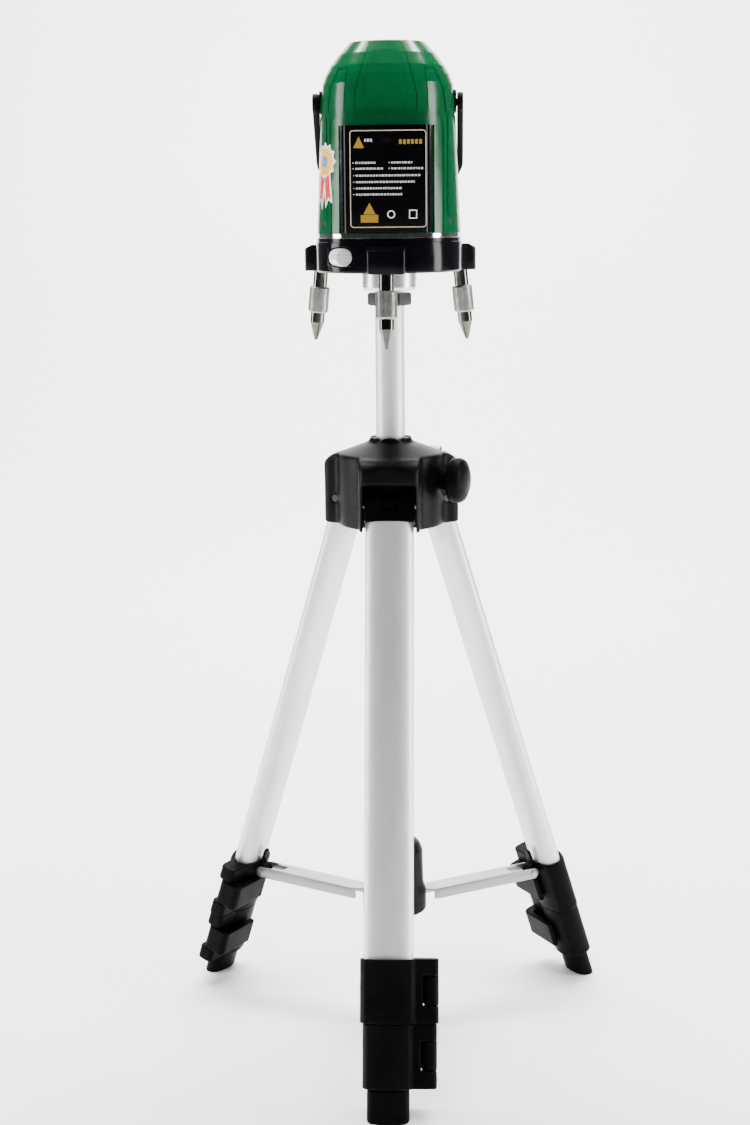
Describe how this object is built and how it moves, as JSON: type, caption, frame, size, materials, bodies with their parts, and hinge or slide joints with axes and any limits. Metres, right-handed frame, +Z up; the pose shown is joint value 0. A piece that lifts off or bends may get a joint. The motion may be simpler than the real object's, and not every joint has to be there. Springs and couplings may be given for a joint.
{
  "type": "laser level on tripod",
  "caption": "Self-levelling laser level with a round green housing, battery pack and strap, on a light aluminium tripod with folding, telescoping legs.",
  "frame": {"origin": "floor level, centre of the object's box seen from above; the centre column stands at x 1.1 mm, y 31.8 mm", "axes": "+Z up; the battery side of the level and leg 1 face -Y; +X is to the right seen from that side"},
  "size_m": [0.3032, 0.2754, 0.6902],
  "materials": {
    "green_plastic": "glossy moulded",
    "black_gloss": "glossy moulded",
    "black_satin": "satin moulded",
    "black_rubber": "matt",
    "button_rubber": "matt",
    "cell_wrap": "shrink wrap",
    "window_glass": "clear",
    "vial": "clear",
    "chrome": "polished",
    "satin_steel": "satin",
    "dark_steel": "dark grey",
    "cast_metal": "as cast",
    "silver_aluminium": "satin anodised"
  },
  "bodies": {
    "tripod_head": {"head_casting": "black_satin", "leg_hinge_pins": "satin_steel", "head_bubble": "vial"},
    "lock_knob": {"column_lock_knob": "black_satin"},
    "column": {"center_column": "silver_aluminium", "lock_nut": "dark_steel", "mount_adapter": "satin_steel", "level_base": "black_gloss", "foot_sleeves": "chrome"},
    "hub": {"spreader_hub": "black_satin"},
    "leg_1": {"leg_1_top_yoke": "black_satin", "leg_1_upper_tube": "silver_aluminium", "leg_1_upper_collar": "black_satin"},
    "leg_1_middle": {"leg_1_middle_tube": "silver_aluminium", "leg_1_lower_collar": "black_satin"},
    "leg_1_lower": {"leg_1_lower_tube": "silver_aluminium", "leg_1_foot": "black_satin"},
    "leg_1_upper_clamp": {"leg_1_upper_lever": "black_satin"},
    "leg_1_lower_clamp": {"leg_1_lower_lever": "black_satin"},
    "spreader_1": {"brace_1": "silver_aluminium"},
    "leg_2": {"leg_2_top_yoke": "black_satin", "leg_2_upper_tube": "silver_aluminium", "leg_2_upper_collar": "black_satin"},
    "leg_2_middle": {"leg_2_middle_tube": "silver_aluminium", "leg_2_lower_collar": "black_satin"},
    "leg_2_lower": {"leg_2_lower_tube": "silver_aluminium", "leg_2_foot": "black_satin"},
    "leg_2_upper_clamp": {"leg_2_upper_lever": "black_satin"},
    "leg_2_lower_clamp": {"leg_2_lower_lever": "black_satin"},
    "spreader_2": {"brace_2": "silver_aluminium"},
    "leg_3": {"leg_3_top_yoke": "black_satin", "leg_3_upper_tube": "silver_aluminium", "leg_3_upper_collar": "black_satin"},
    "leg_3_middle": {"leg_3_middle_tube": "silver_aluminium", "leg_3_lower_collar": "black_satin"},
    "leg_3_lower": {"leg_3_lower_tube": "silver_aluminium", "leg_3_foot": "black_satin"},
    "leg_3_upper_clamp": {"leg_3_upper_lever": "black_satin"},
    "leg_3_lower_clamp": {"leg_3_lower_lever": "black_satin"},
    "spreader_3": {"brace_3": "silver_aluminium"},
    "turntable": {"turntable": "black_gloss"},
    "fine_knob": {"fine_knob": "satin_steel"},
    "housing": {"housing_shell": "green_plastic", "turning_ring": "chrome", "laser_windows": "window_glass", "housing_screws": "chrome", "keypad_panel": "black_gloss", "strap_lugs": "black_rubber"},
    "strap": {"carry_strap": "black_rubber"},
    "button": {"power_button": "button_rubber"},
    "battery": {"battery_pack": "black_gloss", "battery_cells": "cell_wrap"},
    "gimbal": {"gimbal_ring": "cast_metal"},
    "pendulum": {"pendulum": "cast_metal"},
    "foot_screw_1": {"foot_tip_1": "chrome"},
    "foot_nut_1": {"foot_knurl_1": "satin_steel"},
    "foot_screw_2": {"foot_tip_2": "chrome"},
    "foot_nut_2": {"foot_knurl_2": "satin_steel"},
    "foot_screw_3": {"foot_tip_3": "chrome"},
    "foot_nut_3": {"foot_knurl_3": "satin_steel"}
  },
  "joints": [
    {"name": "column_slide", "type": "slide", "parent": "tripod_head", "child": "column", "axis": [0, 0, 1], "range_m": [-0.085, 0.034]},
    {"name": "column_knob_turn", "type": "hinge", "parent": "tripod_head", "child": "lock_knob", "pos_m": [0.03874, 0.01809, 0.3985], "axis": [0.9397, -0.342, 0], "range_deg": [-360, 0]},
    {"name": "leg_1_fold", "type": "hinge", "parent": "tripod_head", "child": "leg_1", "pos_m": [0.00115, -0.00123, 0.384], "axis": [1, 0, 0], "range_deg": [0, 16]},
    {"name": "spreader_1_turn", "type": "hinge", "parent": "leg_1", "child": "spreader_1", "pos_m": [0.00115, -0.08346, 0.08882], "axis": [1, 0, 0], "range_deg": [0, 69.5]},
    {"name": "leg_1_middle_slide", "type": "slide", "parent": "leg_1", "child": "leg_1_middle", "axis": [0, -0.3183, -0.948], "range_m": [0, 0.19]},
    {"name": "leg_1_lower_slide", "type": "slide", "parent": "leg_1_middle", "child": "leg_1_lower", "axis": [0, -0.3183, -0.948], "range_m": [0, 0.19]},
    {"name": "leg_1_upper_lever", "type": "hinge", "parent": "leg_1", "child": "leg_1_upper_clamp", "pos_m": [0.02915, -0.10094, 0.0776], "axis": [0, -0.3183, -0.948], "range_deg": [0, 90]},
    {"name": "leg_1_lower_lever", "type": "hinge", "parent": "leg_1_middle", "child": "leg_1_lower_clamp", "pos_m": [0.02795, -0.11421, 0.03807], "axis": [0, -0.3183, -0.948], "range_deg": [0, 90]},
    {"name": "leg_2_fold", "type": "hinge", "parent": "tripod_head", "child": "leg_2", "pos_m": [0.02973, 0.04827, 0.384], "axis": [-0.5, 0.866, 0], "range_deg": [0, 16]},
    {"name": "spreader_2_turn", "type": "hinge", "parent": "leg_2", "child": "spreader_2", "pos_m": [0.10094, 0.08939, 0.08882], "axis": [-0.5, 0.866, 0], "range_deg": [0, 69.5]},
    {"name": "leg_2_middle_slide", "type": "slide", "parent": "leg_2", "child": "leg_2_middle", "axis": [0.2757, 0.1591, -0.948], "range_m": [0, 0.19]},
    {"name": "leg_2_lower_slide", "type": "slide", "parent": "leg_2_middle", "child": "leg_2_lower", "axis": [0.2757, 0.1591, -0.948], "range_m": [0, 0.19]},
    {"name": "leg_2_upper_lever", "type": "hinge", "parent": "leg_2", "child": "leg_2_upper_clamp", "pos_m": [0.10208, 0.12237, 0.0776], "axis": [0.2757, 0.1591, -0.948], "range_deg": [0, 90]},
    {"name": "leg_2_lower_lever", "type": "hinge", "parent": "leg_2_middle", "child": "leg_2_lower_clamp", "pos_m": [0.11418, 0.12797, 0.03807], "axis": [0.2757, 0.1591, -0.948], "range_deg": [0, 90]},
    {"name": "leg_3_fold", "type": "hinge", "parent": "tripod_head", "child": "leg_3", "pos_m": [-0.02743, 0.04827, 0.384], "axis": [-0.5, -0.866, 0], "range_deg": [0, 16]},
    {"name": "spreader_3_turn", "type": "hinge", "parent": "leg_3", "child": "spreader_3", "pos_m": [-0.09864, 0.08939, 0.08882], "axis": [-0.5, -0.866, 0], "range_deg": [0, 69.5]},
    {"name": "leg_3_middle_slide", "type": "slide", "parent": "leg_3", "child": "leg_3_middle", "axis": [-0.2757, 0.1591, -0.948], "range_m": [0, 0.19]},
    {"name": "leg_3_lower_slide", "type": "slide", "parent": "leg_3_middle", "child": "leg_3_lower", "axis": [-0.2757, 0.1591, -0.948], "range_m": [0, 0.19]},
    {"name": "leg_3_upper_lever", "type": "hinge", "parent": "leg_3", "child": "leg_3_upper_clamp", "pos_m": [-0.12778, 0.07388, 0.0776], "axis": [-0.2757, 0.1591, -0.948], "range_deg": [0, 90]},
    {"name": "leg_3_lower_lever", "type": "hinge", "parent": "leg_3_middle", "child": "leg_3_lower_clamp", "pos_m": [-0.13868, 0.08155, 0.03807], "axis": [-0.2757, 0.1591, -0.948], "range_deg": [0, 90]},
    {"name": "hub_slide", "type": "slide", "parent": "tripod_head", "child": "hub", "axis": [0, 0, 1], "range_m": [0, 0.083]},
    {"name": "fine_turn", "type": "hinge", "parent": "column", "child": "turntable", "pos_m": [0.00115, 0.03177, 0.555], "axis": [0, 0, 1], "continuous": true},
    {"name": "fine_knob_turn", "type": "hinge", "parent": "column", "child": "fine_knob", "pos_m": [-0.03905, 0.01387, 0.5505], "axis": [0.4067, -0.9135, 0], "continuous": true},
    {"name": "housing_turn", "type": "hinge", "parent": "turntable", "child": "housing", "pos_m": [0.00115, 0.03177, 0.6], "axis": [0, 0, 1], "continuous": true},
    {"name": "strap_swing", "type": "hinge", "parent": "housing", "child": "strap", "pos_m": [0.00115, 0.03177, 0.651], "axis": [1, 0, 0], "range_deg": [0, 205]},
    {"name": "battery_slide", "type": "slide", "parent": "housing", "child": "battery", "axis": [0, -1, 0], "range_m": [0, 0.03]},
    {"name": "button_press", "type": "slide", "parent": "housing", "child": "button", "axis": [0, 0, -1], "range_m": [0, 0.0008], "stiffness_N_per_m": 800, "springref_m": -0.001},
    {"name": "gimbal_tilt", "type": "hinge", "parent": "housing", "child": "gimbal", "pos_m": [0.00115, 0.03177, 0.664], "axis": [1, 0, 0], "range_deg": [-3, 3]},
    {"name": "pendulum_tilt", "type": "hinge", "parent": "gimbal", "child": "pendulum", "pos_m": [0.00115, 0.03177, 0.664], "axis": [0, 1, 0], "range_deg": [-3, 3]},
    {"name": "foot_1_level", "type": "slide", "parent": "column", "child": "foot_screw_1", "axis": [0, -0.1132, -0.9936], "range_m": [0, 0.008]},
    {"name": "foot_1_turn", "type": "hinge", "parent": "foot_screw_1", "child": "foot_nut_1", "pos_m": [0.00115, -0.02403, 0.54], "axis": [0, -0.1132, -0.9936], "range_deg": [0, 2900]},
    {"name": "foot_2_level", "type": "slide", "parent": "column", "child": "foot_screw_2", "axis": [0.098, 0.0566, -0.9936], "range_m": [0, 0.008]},
    {"name": "foot_2_turn", "type": "hinge", "parent": "foot_screw_2", "child": "foot_nut_2", "pos_m": [0.04947, 0.05967, 0.54], "axis": [0.098, 0.0566, -0.9936], "range_deg": [0, 2900]},
    {"name": "foot_3_level", "type": "slide", "parent": "column", "child": "foot_screw_3", "axis": [-0.098, 0.0566, -0.9936], "range_m": [0, 0.008]},
    {"name": "foot_3_turn", "type": "hinge", "parent": "foot_screw_3", "child": "foot_nut_3", "pos_m": [-0.04717, 0.05967, 0.54], "axis": [-0.098, 0.0566, -0.9936], "range_deg": [0, 2900]}
  ],
  "couplings": [
    {"joint": "spreader_1_turn", "follows": "leg_1_fold", "ratio": 4.3125},
    {"joint": "leg_2_fold", "follows": "leg_1_fold", "ratio": 1},
    {"joint": "spreader_2_turn", "follows": "leg_1_fold", "ratio": 4.3125},
    {"joint": "leg_3_fold", "follows": "leg_1_fold", "ratio": 1},
    {"joint": "spreader_3_turn", "follows": "leg_1_fold", "ratio": 4.3125},
    {"joint": "hub_slide", "follows": "leg_1_fold", "m_per_rad": 0.29364},
    {"joint": "fine_knob_turn", "follows": "fine_turn", "ratio": -20},
    {"joint": "foot_1_turn", "follows": "foot_1_level", "rad_per_m": 6283.2},
    {"joint": "foot_2_turn", "follows": "foot_2_level", "rad_per_m": 6283.2},
    {"joint": "foot_3_turn", "follows": "foot_3_level", "rad_per_m": 6283.2}
  ]
}
